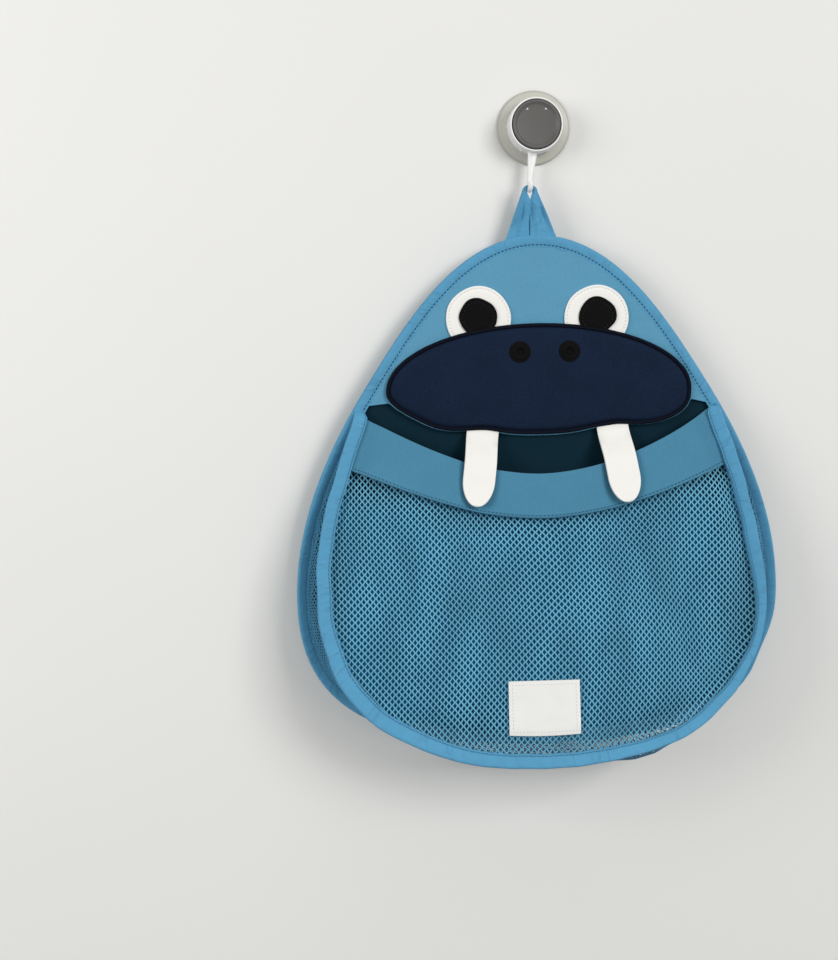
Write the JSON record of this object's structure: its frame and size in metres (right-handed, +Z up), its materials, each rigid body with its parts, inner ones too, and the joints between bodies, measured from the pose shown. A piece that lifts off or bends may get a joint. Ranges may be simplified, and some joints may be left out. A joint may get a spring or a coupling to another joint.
{
  "type": "bath toy organizer",
  "caption": "Hanging bath toy organizer: neoprene animal-face bag with an open mouth over a mesh pocket, hung by a cloth loop on a twist-lock suction hook.",
  "frame": {"origin": "centre of the suction cup on the wall", "axes": "+X to the right as seen from the room, +Y into the wall, +Z up"},
  "size_m": [0.3518, 0.0743, 0.4733],
  "materials": {
    "cup_clear": "soft translucent grey",
    "stud_plastic": "satin",
    "hook_white": "gloss white",
    "knob_grey": "satin dark grey",
    "binding_blue": "knit tape",
    "neoprene_blue": "jersey-faced neoprene",
    "mesh_blue": "open mesh",
    "neoprene_navy": "jersey-faced neoprene",
    "piping_black": "piped tape",
    "felt_white": "felt",
    "felt_black": "felt",
    "label_white": "woven label, bare"
  },
  "bodies": {
    "hook": {"suction_cup": "cup_clear", "hook_body": "hook_white"},
    "knob": {"twist_knob": "knob_grey"},
    "stud": {"cup_stud": "stud_plastic"},
    "loop": {"hanging_loop": "binding_blue"},
    "bag": {"back_panel": "neoprene_blue", "back_binding": "binding_blue", "head_panel": "neoprene_blue", "gusset_mesh": "mesh_blue", "lip_band": "neoprene_blue", "front_mesh": "mesh_blue", "front_binding": "binding_blue", "sewn_label": "label_white", "eye_white_left": "felt_white", "eye_white_right": "felt_white", "pupil_left": "felt_black", "pupil_right": "felt_black", "muzzle": "neoprene_navy", "muzzle_piping": "piping_black", "nostril_left": "felt_black", "nostril_right": "felt_black"},
    "tusk_left_flap": {"tusk_left": "felt_white"},
    "tusk_right_flap": {"tusk_right": "felt_white"}
  },
  "joints": [
    {"name": "knob_twist", "type": "hinge", "parent": "hook", "child": "knob", "pos_m": [0, -0.015, 0], "axis": [0, -1, 0], "range_deg": [0, 90]},
    {"name": "stud_draw", "type": "slide", "parent": "hook", "child": "stud", "axis": [0, 1, 0], "range_m": [0, 0.0012]},
    {"name": "loop_swing", "type": "hinge", "parent": "hook", "child": "loop", "pos_m": [-0.00473, -0.014, -0.045], "axis": [0, 1, 0], "range_deg": [-20, 20]},
    {"name": "bag_swing_out", "type": "hinge", "parent": "loop", "child": "bag", "pos_m": [-0.00473, -0.014, -0.0745], "axis": [-1, 0, 0], "range_deg": [0, 35]},
    {"name": "tusk_left_lift", "type": "hinge", "parent": "bag", "child": "tusk_left_flap", "pos_m": [-0.0405, -0.01815, -0.21886], "axis": [-1, 0, 0], "range_deg": [0, 75]},
    {"name": "tusk_right_lift", "type": "hinge", "parent": "bag", "child": "tusk_right_flap", "pos_m": [0.0545, -0.01815, -0.21789], "axis": [-1, 0, 0], "range_deg": [0, 75]}
  ],
  "couplings": [
    {"joint": "stud_draw", "follows": "knob_twist", "m_per_rad": 0.00076}
  ]
}
